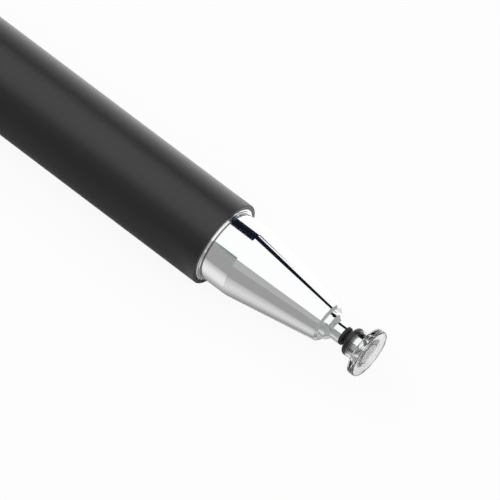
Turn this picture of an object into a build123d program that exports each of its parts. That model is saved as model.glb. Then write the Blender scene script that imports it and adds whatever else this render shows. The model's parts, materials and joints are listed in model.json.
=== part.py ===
"""Stylus pen with a clear disc tip on a ball joint, and a cap posted on its tail.

The pen lies along X with its tip towards +X, and +Z is up. The origin is the
centre of the barrel's front mouth. All sizes are in millimetres.
"""

import os
from math import asin, degrees, sqrt

from build123d import *

# Clearances
press_gap = 0.02  # between pieces that are pressed or glued together
thread_gap = 0.03  # between the plain cylinders that stand for threads
slide_gap = 0.05  # between the cap's liner and the lands it slides over
turn_gap = 0.03  # around the ball and its neck, which turn
seam_gap = 0.05  # between the barrel's end and the cap's mouth
overrun = 1.0  # how far a cut runs past the face it opens

# Barrel
barrel_diameter = 10.5
barrel_wall = 0.52
barrel_length = 106.0
barrel_mouth_round = 0.1
barrel_tail_round = 0.28
barrel_bore_chamfer = 0.06

# Bush in each end of the barrel
bush_length = 12.0
bush_proud = 0.2
bush_step = 0.14  # from the bush's outside in to its proud ring
bush_draft = 0.025  # how much the proud ring narrows to its front

# Washer between a bush and what is screwed into it
washer_thickness = 0.13

# Nose cone
land_step = 0.4  # from the barrel's bore in to the land
land_length = 3.22
shoulder_step = 0.83  # from the land in to the thread
cone_length = 11.37
cone_end_diameter = 4.84
nose_bevel_length = 0.28
nose_face_diameter = 4.24
nose_shank_length = 7.0
nose_shank_wall = 1.07
nose_bore_depth = 16.5

# Tip stem
stem_thread_diameter = 2.5
stem_thread_length = 4.5
collar_diameter = 3.4
collar_length = 0.53
collar_taper_length = 0.53
stem_diameter = 2.28
stem_length = 1.1

# Cushion ring
cushion_diameter = 2.26
cushion_length = 0.36
cushion_round_share = 0.33
cushion_nose_diameter = 1.4
cushion_nose_length = 0.25

# Ball stud
ball_diameter = 2.4
neck_diameter = 0.9
neck_depth = 2.6

# Socket ring
socket_clearance = 0.45  # from the cushion ring to the socket ring
socket_length = 0.73
socket_round_share = 0.92  # of the ring's flat back
socket_flare = 0.13
lip_depth = 0.7  # from the ring's back in to its lip
spigot_length = 0.2
spigot_wall = 0.17
lip_bite = 0.08  # how much narrower the lip is than the ball, in radius

# Disc and contact plate
hub_wall = 0.31
disc_diameter = 5.9
disc_thickness = 0.89
disc_edge_round = 0.14
hub_root_round = 0.22
recess_diameter = 3.2
recess_depth = 0.12
membrane_thickness = 0.21
plate_thickness = 0.13

# Tail post
post_tip_length = 0.7
post_tip_round = 0.5

# Cap
cap_mouth_round = 0.28
tip_room = 1.0  # free space in front of the disc when the cap covers it
liner_setback = 0.4
liner_end_wall = 2.0
grip_bead_start = 1.0
grip_bead_length = 0.8
grip_bead_ramp = 0.3
grip_bead_height = 0.03

# Finial and its screw
finial_shank_length = 2.6
finial_rim_length = 1.4
finial_dome_height = 1.2
finial_edge_round = 0.3
screw_diameter = 2.0
screw_length = 4.0
screw_head_diameter = 3.6
screw_head_length = 1.0
screw_head_round = 0.3
screw_slot_width = 0.5
screw_slot_depth = 0.5

# Pocket clip
clip_width = 3.2
clip_thickness = 0.5
clip_gap = 0.75
clip_length = 24.0
clip_toe_length = 2.0
clip_dip_length = 3.0
clip_toe_lift = 0.6
clip_toe_gap = 0.05
clip_bend_radius = 0.8
clip_tab_depth = 1.1  # how far the tab reaches into the finial's pocket
clip_play = 0.12
clip_tip_round = 0.9

# Radii worked out from the sizes above
barrel_radius = barrel_diameter / 2
bore_radius = barrel_radius - barrel_wall
bush_radius = bore_radius - press_gap
land_radius = bore_radius - land_step
thread_radius = land_radius - shoulder_step
shank_radius = thread_radius - thread_gap
liner_radius = land_radius + slide_gap
ball_radius = ball_diameter / 2
socket_radius = ball_radius + turn_gap
lip_radius = ball_radius - lip_bite
spigot_radius = socket_radius + spigot_wall
hub_radius = spigot_radius + press_gap + hub_wall

# Places along the pen from the barrel's mouth to the disc's face
shoulder_x = bush_proud + washer_thickness
land_end_x = shoulder_x + land_length
cone_end_x = land_end_x + cone_length
nose_face_x = cone_end_x + nose_bevel_length
collar_end_x = nose_face_x + collar_length
taper_end_x = collar_end_x + collar_taper_length
stem_end_x = taper_end_x + stem_length
cushion_end_x = stem_end_x + cushion_length
socket_back_x = cushion_end_x + socket_clearance
hub_back_x = socket_back_x + socket_length
spigot_end_x = hub_back_x + spigot_length
lip_x = socket_back_x + lip_depth
lip_to_ball = sqrt(ball_radius**2 - (lip_radius - turn_gap) ** 2)
ball_x = lip_x + lip_to_ball
plate_x = ball_x + socket_radius
membrane_x = plate_x + plate_thickness
recess_x = membrane_x + membrane_thickness
disc_face_x = recess_x + recess_depth
disc_back_x = disc_face_x - disc_thickness

# Places along the pen from the barrel's tail to the finial's top
tail_x = -barrel_length
post_shoulder_x = tail_x - shoulder_x
post_end_x = post_shoulder_x - land_length - post_tip_length
cap_mouth_x = tail_x - seam_gap
liner_mouth_x = cap_mouth_x - liner_setback
liner_floor_x = cap_mouth_x - (disc_face_x - seam_gap + tip_room)
screw_seat_x = liner_floor_x - screw_head_length
liner_end_x = liner_floor_x - liner_end_wall
finial_shank_x = liner_end_x - press_gap
cap_end_x = finial_shank_x - finial_shank_length
finial_rim_x = cap_end_x - finial_rim_length
finial_top_x = finial_rim_x - finial_dome_height
screw_end_x = screw_seat_x - screw_length

# The clip stands level beside the cap, on the pen's -Y side
clip_line_radius = barrel_radius + clip_gap + clip_thickness / 2
half_turn = 180.0
clip_plane = Plane.XY.rotated((half_turn, 0, 0))

# Barrel: a plain tube with eased ends
with BuildPart() as barrel:
    with BuildSketch(Plane.YZ.offset(tail_x)):
        Circle(barrel_radius)
        Circle(bore_radius, mode=Mode.SUBTRACT)
    extrude(amount=barrel_length)
    rims = barrel.edges().filter_by(GeomType.CIRCLE).group_by(SortBy.RADIUS)
    chamfer(rims[0], barrel_bore_chamfer)
    outer_rims = rims[-1].sort_by(Axis.X)
    fillet(outer_rims[0], barrel_tail_round)
    fillet(outer_rims[-1], barrel_mouth_round)

# Front bush: pressed into the barrel, with a proud ring at its front and a thread for the nose
with BuildPart() as front_bush:
    with BuildSketch(Plane.XY):
        with BuildLine():
            Polyline(
                (-bush_length, thread_radius),
                (-bush_length, bush_radius),
                (0, bush_radius),
                (0, bush_radius - bush_step),
                (bush_proud, bush_radius - bush_step - bush_draft),
                (bush_proud, thread_radius),
                close=True,
            )
        make_face()
    revolve(axis=Axis.X)

# Nose washer: a thin soft ring under the nose's shoulder
with BuildPart() as nose_washer:
    with BuildSketch(Plane.YZ.offset(bush_proud)):
        Circle(land_radius)
        Circle(thread_radius, mode=Mode.SUBTRACT)
    extrude(amount=washer_thickness)

# Tail bush and washer: the front ones turned end for end
barrel_middle = Plane.YZ.offset(tail_x / 2)
with BuildPart() as tail_bush:
    mirror(front_bush.part, about=barrel_middle)

with BuildPart() as tail_washer:
    mirror(nose_washer.part, about=barrel_middle)

# Nose cone: threaded shank, land for the cap, long cone and a bevelled end
nose_rear_x = shoulder_x - nose_shank_length
nose_bore_end_x = nose_rear_x + nose_bore_depth
with BuildPart() as nose_cone:
    with BuildSketch(Plane.XY):
        with BuildLine():
            Polyline(
                (nose_rear_x, 0),
                (nose_rear_x, shank_radius),
                (shoulder_x, shank_radius),
                (shoulder_x, land_radius),
                (land_end_x, land_radius),
                (cone_end_x, cone_end_diameter / 2),
                (nose_face_x, nose_face_diameter / 2),
                (nose_face_x, 0),
                close=True,
            )
        make_face()
    revolve(axis=Axis.X)
    with BuildSketch(Plane.YZ.offset(nose_rear_x)):
        Circle(shank_radius - nose_shank_wall)
    extrude(amount=nose_bore_depth, mode=Mode.SUBTRACT)
    with BuildSketch(Plane.YZ.offset(nose_face_x)):
        Circle(stem_thread_diameter / 2)
    extrude(amount=nose_bore_end_x - nose_face_x - overrun, mode=Mode.SUBTRACT)

# Tip stem: threaded shank, stepped collar and slim stem, bored for the ball's neck
with BuildPart() as tip_stem:
    with BuildSketch(Plane.XY):
        with BuildLine():
            Polyline(
                (nose_face_x - stem_thread_length, 0),
                (nose_face_x - stem_thread_length, stem_thread_diameter / 2 - thread_gap),
                (nose_face_x, stem_thread_diameter / 2 - thread_gap),
                (nose_face_x, collar_diameter / 2),
                (collar_end_x, collar_diameter / 2),
                (taper_end_x, stem_diameter / 2),
                (stem_end_x, stem_diameter / 2),
                (stem_end_x, 0),
                close=True,
            )
        make_face()
    revolve(axis=Axis.X)
    with BuildSketch(Plane.YZ.offset(stem_end_x)):
        Circle(neck_diameter / 2 + turn_gap)
    extrude(amount=-(neck_depth + turn_gap), mode=Mode.SUBTRACT)

# Cushion ring: soft bead that the hub comes to rest on, with a narrower nose
with BuildPart() as cushion_ring:
    with BuildSketch(Plane.YZ.offset(stem_end_x)):
        Circle(cushion_diameter / 2)
    extrude(amount=cushion_length)
    fillet(cushion_ring.edges().filter_by(GeomType.CIRCLE), cushion_length * cushion_round_share)
    with BuildSketch(Plane.YZ.offset(stem_end_x)):
        Circle(cushion_nose_diameter / 2)
    extrude(amount=cushion_length + cushion_nose_length)
    with BuildSketch(Plane.YZ.offset(stem_end_x)):
        Circle(neck_diameter / 2 + turn_gap)
    extrude(amount=cushion_length + cushion_nose_length, mode=Mode.SUBTRACT)

# Ball stud: a ball on a thin neck that turns in the stem
with BuildPart() as ball_stud:
    with BuildSketch(Plane.YZ.offset(stem_end_x - neck_depth)):
        Circle(neck_diameter / 2)
    extrude(amount=ball_x - stem_end_x + neck_depth)
    with Locations((ball_x, 0, 0)):
        Sphere(ball_radius)

# Socket ring: rounded at the back, with a lip that the ball snaps through and a spigot in the hub
with BuildPart() as socket_ring:
    with BuildSketch(Plane.XY):
        with BuildLine():
            Polyline(
                (socket_back_x, lip_radius + socket_flare),
                (socket_back_x, hub_radius),
                (hub_back_x - press_gap, hub_radius),
                (hub_back_x - press_gap, spigot_radius),
                (spigot_end_x - press_gap, spigot_radius),
                (spigot_end_x - press_gap, socket_radius),
                (lip_x, socket_radius),
                (lip_x, lip_radius),
                close=True,
            )
        make_face()
    revolve(axis=Axis.X)
    back_face = socket_ring.faces().sort_by(Axis.X)[0]
    back_rim = back_face.edges().sort_by(SortBy.RADIUS)[-1]
    fillet(back_rim, (hub_radius - lip_radius - socket_flare) * socket_round_share)

# Disc: a thick clear rim on a hollow hub, with a shallow recess in its face
with BuildPart() as disc:
    with BuildSketch(Plane.XY):
        with BuildLine():
            Polyline(
                (hub_back_x, 0),
                (hub_back_x, hub_radius),
                (disc_back_x, hub_radius),
                (disc_back_x, disc_diameter / 2),
                (disc_face_x, disc_diameter / 2),
                (disc_face_x, 0),
                close=True,
            )
        make_face()
    revolve(axis=Axis.X)
    rings = disc.edges().filter_by(GeomType.CIRCLE).group_by(SortBy.RADIUS)
    fillet(rings[-1], disc_edge_round)
    hub_root = rings[0].sort_by(Axis.X)[-1]
    fillet(hub_root, hub_root_round)
    with BuildSketch(Plane.YZ.offset(disc_face_x)):
        Circle(recess_diameter / 2)
    extrude(amount=-recess_depth, mode=Mode.SUBTRACT)
    with BuildSketch(Plane.YZ.offset(hub_back_x)):
        Circle(spigot_radius + press_gap)
    extrude(amount=spigot_length, mode=Mode.SUBTRACT)
    with BuildSketch(Plane.YZ.offset(hub_back_x)):
        Circle(socket_radius)
    extrude(amount=membrane_x - hub_back_x, mode=Mode.SUBTRACT)

# Contact plate: lies on the socket's floor, where the ball touches it
with BuildPart() as contact_plate:
    with BuildSketch(Plane.YZ.offset(plate_x)):
        Circle(socket_radius - press_gap)
    extrude(amount=plate_thickness)

# Tail post: screwed into the tail bush, with a land like the nose's for the cap
with BuildPart() as tail_post:
    with BuildSketch(Plane.XY):
        with BuildLine():
            Polyline(
                (post_shoulder_x + nose_shank_length, 0),
                (post_shoulder_x + nose_shank_length, shank_radius),
                (post_shoulder_x, shank_radius),
                (post_shoulder_x, land_radius),
                (post_end_x, land_radius),
                (post_end_x, 0),
                close=True,
            )
        make_face()
    revolve(axis=Axis.X)
    post_end = tail_post.faces().sort_by(Axis.X)[0]
    fillet(post_end.edges(), post_tip_round)

# Cap tube: the barrel's own tube, cut short, notched at its end for the clip
notch_width = clip_width + 2 * clip_play
notch_depth = clip_thickness + 2 * clip_play
with BuildPart() as cap_tube:
    with BuildSketch(Plane.YZ.offset(cap_end_x)):
        Circle(barrel_radius)
        Circle(bore_radius, mode=Mode.SUBTRACT)
    extrude(amount=cap_mouth_x - cap_end_x)
    mouth = cap_tube.faces().sort_by(Axis.X)[-1]
    fillet(mouth.edges().sort_by(SortBy.RADIUS)[-1], cap_mouth_round)
    with BuildSketch(clip_plane):
        with Locations((cap_end_x, bore_radius - overrun)):
            Rectangle(notch_depth, barrel_wall + 2 * overrun, align=(Align.MIN, Align.MIN))
    extrude(amount=notch_width / 2, both=True, mode=Mode.SUBTRACT)

# Cap liner: a sleeve with a grip bead, and an end wall that the screw passes
with BuildPart() as cap_liner:
    with BuildSketch(Plane.XY):
        with BuildLine():
            bead_x = liner_mouth_x - grip_bead_start
            bead_end_x = bead_x - grip_bead_length
            Polyline(
                (liner_mouth_x, liner_radius),
                (liner_mouth_x, bush_radius),
                (liner_end_x, bush_radius),
                (liner_end_x, 0),
                (liner_floor_x, 0),
                (liner_floor_x, liner_radius),
                (bead_end_x - grip_bead_ramp, liner_radius),
                (bead_end_x, liner_radius - grip_bead_height),
                (bead_x, liner_radius - grip_bead_height),
                (bead_x + grip_bead_ramp, liner_radius),
                close=True,
            )
        make_face()
    revolve(axis=Axis.X)
    with Locations(Plane.YZ.offset(liner_floor_x)):
        CounterBoreHole(
            radius=screw_diameter / 2 + thread_gap,
            counter_bore_radius=screw_head_diameter / 2 + slide_gap,
            counter_bore_depth=screw_head_length,
            depth=liner_end_wall + overrun,
        )

# Finial: shank in the cap tube's end, rim and low dome, with a pocket for the clip's tab
dome_radius = (barrel_radius**2 + finial_dome_height**2) / (2 * finial_dome_height)
dome_angle = degrees(asin(barrel_radius / dome_radius))
with BuildPart() as finial:
    with BuildSketch(Plane.XY):
        with BuildLine():
            dome = JernArc((finial_top_x, 0), (0, 1), dome_radius, -dome_angle)
            Polyline(
                dome @ 1,
                (cap_end_x, barrel_radius),
                (cap_end_x, bush_radius),
                (finial_shank_x, bush_radius),
                (finial_shank_x, 0),
                (finial_top_x, 0),
            )
        make_face()
    revolve(axis=Axis.X)
    dome_face = finial.faces().filter_by(GeomType.SPHERE)[0]
    fillet(dome_face.edges().sort_by(Axis.X)[-1], finial_edge_round)
    with Locations(Plane.YZ.offset(finial_shank_x)):
        Hole(screw_diameter / 2 + thread_gap, depth=finial_shank_x - screw_end_x + thread_gap)
    with BuildSketch(clip_plane):
        with Locations((cap_end_x, bush_radius - clip_tab_depth - clip_play)):
            Rectangle(
                notch_depth + clip_play,
                clip_tab_depth + clip_play + overrun,
                align=(Align.MIN, Align.MIN),
            )
    extrude(amount=notch_width / 2, both=True, mode=Mode.SUBTRACT)

# Finial screw: a slotted cheese head under the liner's floor
with BuildPart() as finial_screw:
    with BuildSketch(Plane.YZ.offset(screw_seat_x)):
        Circle(screw_head_diameter / 2)
    extrude(amount=screw_head_length - press_gap)
    head_top = finial_screw.faces().sort_by(Axis.X)[-1]
    fillet(head_top.edges(), screw_head_round)
    with BuildSketch(Plane.YZ.offset(screw_seat_x)):
        Circle(screw_diameter / 2)
    extrude(amount=-screw_length)
    with BuildSketch(Plane.YZ.offset(screw_seat_x + screw_head_length)):
        Rectangle(screw_head_diameter + overrun, screw_slot_width)
    extrude(amount=-screw_slot_depth, mode=Mode.SUBTRACT)

# Clip: a bent strip, its tab in the pocket and its toe just off the cap
clip_root_x = cap_end_x + clip_play + clip_thickness / 2
clip_toe_x = clip_root_x + clip_length - clip_toe_length
toe_radius = barrel_radius + clip_toe_gap + clip_thickness / 2
with BuildPart() as clip:
    with BuildSketch(clip_plane):
        with BuildLine():
            FilletPolyline(
                (clip_root_x, bush_radius - clip_tab_depth),
                (clip_root_x, clip_line_radius),
                (clip_toe_x - clip_dip_length, clip_line_radius),
                (clip_toe_x, toe_radius),
                (clip_root_x + clip_length, toe_radius + clip_toe_lift),
                radius=clip_bend_radius,
            )
        trace(line_width=clip_thickness)
    extrude(amount=clip_width / 2, both=True)
    toe_face = clip.faces().sort_by(Axis.X)[-1]
    fillet(toe_face.edges().group_by(SortBy.LENGTH)[0], clip_tip_round)

pieces = {
    "barrel": barrel,
    "front_bush": front_bush,
    "nose_washer": nose_washer,
    "nose_cone": nose_cone,
    "tip_stem": tip_stem,
    "cushion_ring": cushion_ring,
    "ball_stud": ball_stud,
    "socket_ring": socket_ring,
    "disc": disc,
    "contact_plate": contact_plate,
    "tail_bush": tail_bush,
    "tail_washer": tail_washer,
    "tail_post": tail_post,
    "cap_tube": cap_tube,
    "cap_liner": cap_liner,
    "finial": finial,
    "finial_screw": finial_screw,
    "clip": clip,
}
os.makedirs("parts", exist_ok=True)
for name, piece in pieces.items():
    piece.part.label = name
    export_step(piece.part, f"parts/{name}.step")
    size = piece.part.bounding_box().size
    print(f"{name}: {size.X:.2f} x {size.Y:.2f} x {size.Z:.2f} mm, {piece.part.volume:.3f} mm3")
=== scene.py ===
# %% [markdown]
# # Dressing a stylus pen
# The pen is a black tube with a bright screwed-in nose, and its tip is a clear disc on a tiny ball joint.
# A cap with a pocket clip sits on the tail. The solids were drawn first and are loaded here as a fixed
# frame. In this lesson each piece is remade as a clean mesh at the solid's own place and gets a finish of
# its own.

# %% Load the frame
import json
from math import asin, atan2, cos, pi, radians, sin, tan

import bmesh
import bpy
from mathutils import Matrix, Vector

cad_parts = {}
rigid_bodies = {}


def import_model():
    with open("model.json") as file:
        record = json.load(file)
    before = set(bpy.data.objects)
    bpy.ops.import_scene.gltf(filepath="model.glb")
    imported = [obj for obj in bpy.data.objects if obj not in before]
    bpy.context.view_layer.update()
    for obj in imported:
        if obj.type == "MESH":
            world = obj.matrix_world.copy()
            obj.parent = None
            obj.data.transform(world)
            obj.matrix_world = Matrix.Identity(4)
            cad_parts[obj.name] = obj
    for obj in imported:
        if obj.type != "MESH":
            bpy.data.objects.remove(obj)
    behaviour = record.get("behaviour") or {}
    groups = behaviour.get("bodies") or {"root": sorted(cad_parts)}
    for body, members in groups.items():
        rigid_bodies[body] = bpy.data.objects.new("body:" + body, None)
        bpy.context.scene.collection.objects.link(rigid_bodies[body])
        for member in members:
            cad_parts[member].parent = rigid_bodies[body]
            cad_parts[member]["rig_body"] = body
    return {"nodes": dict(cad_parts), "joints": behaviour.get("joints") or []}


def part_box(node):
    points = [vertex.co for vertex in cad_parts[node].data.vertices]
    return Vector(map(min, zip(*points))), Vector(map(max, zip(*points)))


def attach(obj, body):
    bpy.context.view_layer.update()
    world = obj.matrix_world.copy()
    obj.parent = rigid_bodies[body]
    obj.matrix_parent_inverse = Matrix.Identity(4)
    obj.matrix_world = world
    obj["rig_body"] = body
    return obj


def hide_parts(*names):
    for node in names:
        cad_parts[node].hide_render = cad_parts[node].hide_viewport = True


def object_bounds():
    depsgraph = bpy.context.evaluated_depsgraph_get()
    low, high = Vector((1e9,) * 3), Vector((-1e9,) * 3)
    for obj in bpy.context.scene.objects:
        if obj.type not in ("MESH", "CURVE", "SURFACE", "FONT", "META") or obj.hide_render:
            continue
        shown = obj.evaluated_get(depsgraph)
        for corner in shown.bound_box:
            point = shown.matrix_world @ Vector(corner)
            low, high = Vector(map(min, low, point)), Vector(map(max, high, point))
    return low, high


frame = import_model()
pen_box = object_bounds()
MM = 0.001
print("pen box in mm:", [[round(side / MM, 2) for side in corner] for corner in pen_box])

# %% [markdown]
# ## Camera
# The photograph shows the pen's sides as parallel lines, so it was seen from far away. A long lens does
# the same. The pen lies along X, and measured facts place the camera: the direction of view, from the
# slant of the barrel and the ellipses of the mouth and the disc, the barrel's width in pixels, and the
# pixel where the middle of its mouth falls. The image is 500 pixels on each side.

# %% Camera
IMAGE_SIDE = 500
BARREL_PIXELS = 95.35
MOUTH_PIXEL = (224.2, 244.7)
VIEW_AZIMUTH = radians(40.59)
VIEW_ELEVATION = radians(61.645)
LONG_LENS = 1000.0
SENSOR = 36.0

BARREL_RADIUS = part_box("barrel")[1].z
pixel = 2 * BARREL_RADIUS / BARREL_PIXELS
to_camera = Vector((
    sin(VIEW_AZIMUTH) * cos(VIEW_ELEVATION),
    -cos(VIEW_AZIMUTH) * cos(VIEW_ELEVATION),
    sin(VIEW_ELEVATION),
))
image_right = Vector((cos(VIEW_AZIMUTH), sin(VIEW_AZIMUTH), 0))
image_up = to_camera.cross(image_right)
image_middle = image_right * (IMAGE_SIDE / 2 - MOUTH_PIXEL[0]) * pixel
image_middle += image_up * (MOUTH_PIXEL[1] - IMAGE_SIDE / 2) * pixel
camera_distance = IMAGE_SIDE * pixel * LONG_LENS / SENSOR

camera_data = bpy.data.cameras.new("photo_camera")
camera_data.lens = LONG_LENS
camera_data.sensor_width = SENSOR
camera_data.clip_end = 2 * camera_distance
camera = bpy.data.objects.new("photo_camera", camera_data)
camera.location = image_middle + to_camera * camera_distance
camera.rotation_euler = to_camera.to_track_quat("Z", "Y").to_euler()
bpy.context.scene.collection.objects.link(camera)
bpy.context.scene.camera = camera
bpy.context.scene.view_settings.view_transform = "Standard"
print(f"camera stands {camera_distance:.2f} m away, the image is {IMAGE_SIDE * pixel / MM:.1f} mm wide")

# %% [markdown]
# ## White surroundings
# The background is plain white: a world of strength 1, which the camera, metal and clear plastic see as
# it is. Matt surfaces don't take light from it, because a lamp is easier to keep at a plain level: a
# wide, dim panel overhead gives them their soft fill instead, and shows in nothing.

# %% World and ceiling panel
FILL_LEVEL = 0.33
PANEL_HEIGHT = 2.5
PANEL_SIDE = 8.0


def lamp(name, level, length, width, location):
    """A flat lamp overhead that faces down. At level 1 it looks as bright as white paper."""
    data = bpy.data.lights.new(name, "AREA")
    data.shape = "RECTANGLE"
    data.size = length
    data.size_y = width
    data.energy = level * pi * length * width
    made = bpy.data.objects.new(name, data)
    made.location = location
    made.visible_camera = False
    bpy.context.scene.collection.objects.link(made)
    print(f"{name}: {data.energy:.1f} W")
    return made


world = bpy.data.worlds.new("white_room")
bpy.context.scene.world = world
world.use_nodes = True
world.node_tree.nodes["Background"].inputs["Color"].default_value = (1, 1, 1, 1)
world.node_tree.nodes["Background"].inputs["Strength"].default_value = 1.0
world.cycles_visibility.diffuse = False
ceiling_panel = lamp("ceiling_panel", FILL_LEVEL, PANEL_SIDE, PANEL_SIDE, (0, 0, PANEL_HEIGHT))
ceiling_panel.visible_glossy = False
ceiling_panel.visible_transmission = False

# %% [markdown]
# ## Floor
# The floor is white paper. Most of what the camera sees of it is a steady white of strength 1, so the
# paper joins the background without an edge, and the rest is ordinary matt paper, which keeps the pen's
# soft shadow. Metal sees the matt paper alone, with the dark line where the pen touches it. Light Path
# tells the shader which kind of ray is asking. Seen from below the paper vanishes, so the underside of
# the pen can be looked at too.

# %% Floor
FLOOR_SIDE = 6.0
PAPER_WHITE = (0.97, 0.97, 0.97, 1)
GLOW_TO_CAMERA = 0.92
GLOW_IN_PLASTIC = 0.6


def math_node(tree, operation, *inputs):
    """Add a Math node, linking sockets and setting plain numbers."""
    node = tree.nodes.new("ShaderNodeMath")
    node.operation = operation
    for index, value in enumerate(inputs):
        if isinstance(value, bpy.types.NodeSocket):
            tree.links.new(value, node.inputs[index])
        else:
            node.inputs[index].default_value = value
    return node.outputs[0]


def mesh_object(name, mesh_bm, material):
    """Turn a bmesh into a linked object with one material."""
    mesh = bpy.data.meshes.new(name)
    mesh_bm.to_mesh(mesh)
    mesh_bm.free()
    mesh.materials.append(material)
    made = bpy.data.objects.new(name, mesh)
    bpy.context.scene.collection.objects.link(made)
    return made


def paper():
    """White paper that shows the background's white and still takes a shadow."""
    material = bpy.data.materials.new("white_paper")
    material.use_nodes = True
    tree = material.node_tree
    tree.nodes.remove(tree.nodes["Principled BSDF"])
    ray = tree.nodes.new("ShaderNodeLightPath").outputs
    plastic_share = math_node(tree, "MULTIPLY", ray["Is Transmission Ray"], GLOW_IN_PLASTIC)
    share = math_node(tree, "MULTIPLY_ADD", ray["Is Camera Ray"], GLOW_TO_CAMERA, plastic_share)
    matt = tree.nodes.new("ShaderNodeBsdfDiffuse")
    matt.inputs["Color"].default_value = PAPER_WHITE
    glow = tree.nodes.new("ShaderNodeEmission")
    top = tree.nodes.new("ShaderNodeMixShader")
    tree.links.new(share, top.inputs["Fac"])
    tree.links.new(matt.outputs[0], top.inputs[1])
    tree.links.new(glow.outputs[0], top.inputs[2])
    sides = tree.nodes.new("ShaderNodeMixShader")
    underside = tree.nodes.new("ShaderNodeNewGeometry").outputs["Backfacing"]
    tree.links.new(underside, sides.inputs["Fac"])
    tree.links.new(top.outputs[0], sides.inputs[1])
    tree.links.new(tree.nodes.new("ShaderNodeBsdfTransparent").outputs[0], sides.inputs[2])
    tree.links.new(sides.outputs[0], tree.nodes["Material Output"].inputs["Surface"])
    return material


FLOOR_Z = pen_box[0].z
floor_bm = bmesh.new()
bmesh.ops.create_grid(floor_bm, x_segments=1, y_segments=1, size=FLOOR_SIDE / 2)
bmesh.ops.translate(floor_bm, verts=floor_bm.verts, vec=(0, 0, FLOOR_Z))
floor = mesh_object("floor", floor_bm, paper())
print(f"floor lies at z = {FLOOR_Z / MM:.2f} mm")

# %% [markdown]
# ## Softbox
# A softbox overhead lights the paper and gives the pen its soft shadow. Its two long edges are placed by
# their tilt from straight up, as seen from the pen. Cycles adds a lamp's light to whatever is behind the
# lamp, so the softbox is hidden from metal and clear plastic, which see the white room there.

# %% Softbox
SOFTBOX_LEVEL = 1.05
SOFTBOX_HEIGHT = 0.62
SOFTBOX_LENGTH = 1.8
SOFTBOX_NEAR_TILT = radians(33.5)
SOFTBOX_FAR_TILT = radians(-39.0)

near_edge = -SOFTBOX_HEIGHT * tan(SOFTBOX_NEAR_TILT)
far_edge = -SOFTBOX_HEIGHT * tan(SOFTBOX_FAR_TILT)
softbox_middle = (0, (near_edge + far_edge) / 2, SOFTBOX_HEIGHT)
softbox = lamp("softbox", SOFTBOX_LEVEL, SOFTBOX_LENGTH, far_edge - near_edge, softbox_middle)
softbox.visible_glossy = False
softbox.visible_transmission = False

# %% [markdown]
# ## How a card is made
# Bright metal has no colour of its own: it shows the room. A photographer shapes its bands with cards,
# and so does this scene. A card is a sheet across several edges, each with its own tone, and it shows
# only in reflections and through clear plastic. An edge in the air is placed by its tilt from straight
# up, in degrees towards -Y, as seen from the pen. An edge on the floor is placed by its distance across
# from the pen's axis. The floor's cards lie half a millimetre above the paper.

# %% Card helpers
CARD_REACH = 0.7
FOOT_LIFT = 0.5 * MM
FOOT_Z = FLOOR_Z + FOOT_LIFT


def grey(tone):
    return (tone, tone, tone)


def edge(run, tilt, tone):
    """An edge in the air, along a run of X, at a tilt seen from the pen."""
    y, z = -CARD_REACH * sin(radians(tilt)), CARD_REACH * cos(radians(tilt))
    return (run[0], y, z), (run[1], y, z), tone


def band(run, tone, *tilts):
    """Edges in the air that share one tone."""
    return [edge(run, tilt, tone) for tilt in tilts]


def floor_edge(run, y, tone):
    """An edge that lies along the floor."""
    return (run[0], y, FOOT_Z), (run[1], y, FOOT_Z), tone


def card_finish(name):
    """A surface that only shows the tones given at the card's edges."""
    material = bpy.data.materials.new(name)
    material.use_nodes = True
    tree = material.node_tree
    tree.nodes.remove(tree.nodes["Principled BSDF"])
    tone = tree.nodes.new("ShaderNodeAttribute")
    tone.attribute_name = "tone"
    glow = tree.nodes.new("ShaderNodeEmission")
    tree.links.new(tone.outputs["Color"], glow.inputs["Color"])
    tree.links.new(glow.outputs[0], tree.nodes["Material Output"].inputs["Surface"])
    return material


def card(name, *edges):
    """A sheet across its edges, which shows only in reflections and through clear plastic."""
    card_bm = bmesh.new()
    tone_layer = card_bm.verts.layers.float_color.new("tone")
    last = None
    for first_end, second_end, tone in edges:
        ends = [card_bm.verts.new(first_end), card_bm.verts.new(second_end)]
        for end in ends:
            end[tone_layer] = (*tone, 1)
        if last:
            card_bm.faces.new((*last, *reversed(ends)))
        last = ends
    made = mesh_object(name, card_bm, card_finish(name))
    made.visible_camera = False
    made.visible_diffuse = False
    made.visible_shadow = False
    print(f"{name}: a card across {len(edges)} edges")
    return made


# %% [markdown]
# ## Near cards
# The grey bands along the nose are one grey card on the near side, in three lengths, because the barrel,
# the land and the cone show it in different tones. A green edge on it shows at the top of the land. Each
# length has a foot that runs in along the floor, with painted tones: it pales on its way to the nose and goes
# dark again close to the pen, as a painted shadow of the pen. A foot is a list of distances from the pen
# with their tones, and its sides are two lines, each given by its start at the pen and its lean along X.

# %% Near cards
BARREL_RUN = (-2.0, -0.229)
LAND_RUN = (-0.229, -0.05)
CONE_RUN = (-0.05, 0.9)
GREEN = (0.20, 0.27, 0.235)
BARREL_GREY = grey(0.23)
GREY = grey(0.33)
PALE_GREY = grey(0.43)
LEVEL_TILT = 90
CARD_TOP_TILT = 33.5
GREEN_TILTS = (29, 36.9)
LAND_GREY_TILT = 37
PALE_END_TILT = 57
CONE_GREY_TILT = 57.1
# The darkest tones, closest to the pen, are a painted shadow of the pen.
BARREL_FOOT = ((14 * MM, 0.33), (8 * MM, 0.27), (5.7 * MM, 0.2))
LAND_FOOT = (
    (100 * MM, 0.47), (38 * MM, 0.61), (14 * MM, 0.82), (9.5 * MM, 0.79), (5.7 * MM, 0.41), (4 * MM, 0.3),
)
CONE_FOOT = (
    (100 * MM, 0.36), (26 * MM, 0.55), (12 * MM, 0.68), (8.5 * MM, 0.61), (5.3 * MM, 0.34), (3.5 * MM, 0.27),
)
REAR_END = (BARREL_RUN[0], 0)
LAND_REAR = (-0.5 * MM, -0.31)
CONE_REAR = (3.5 * MM, -0.17)
FRONT_END = (24 * MM, 0)


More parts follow.
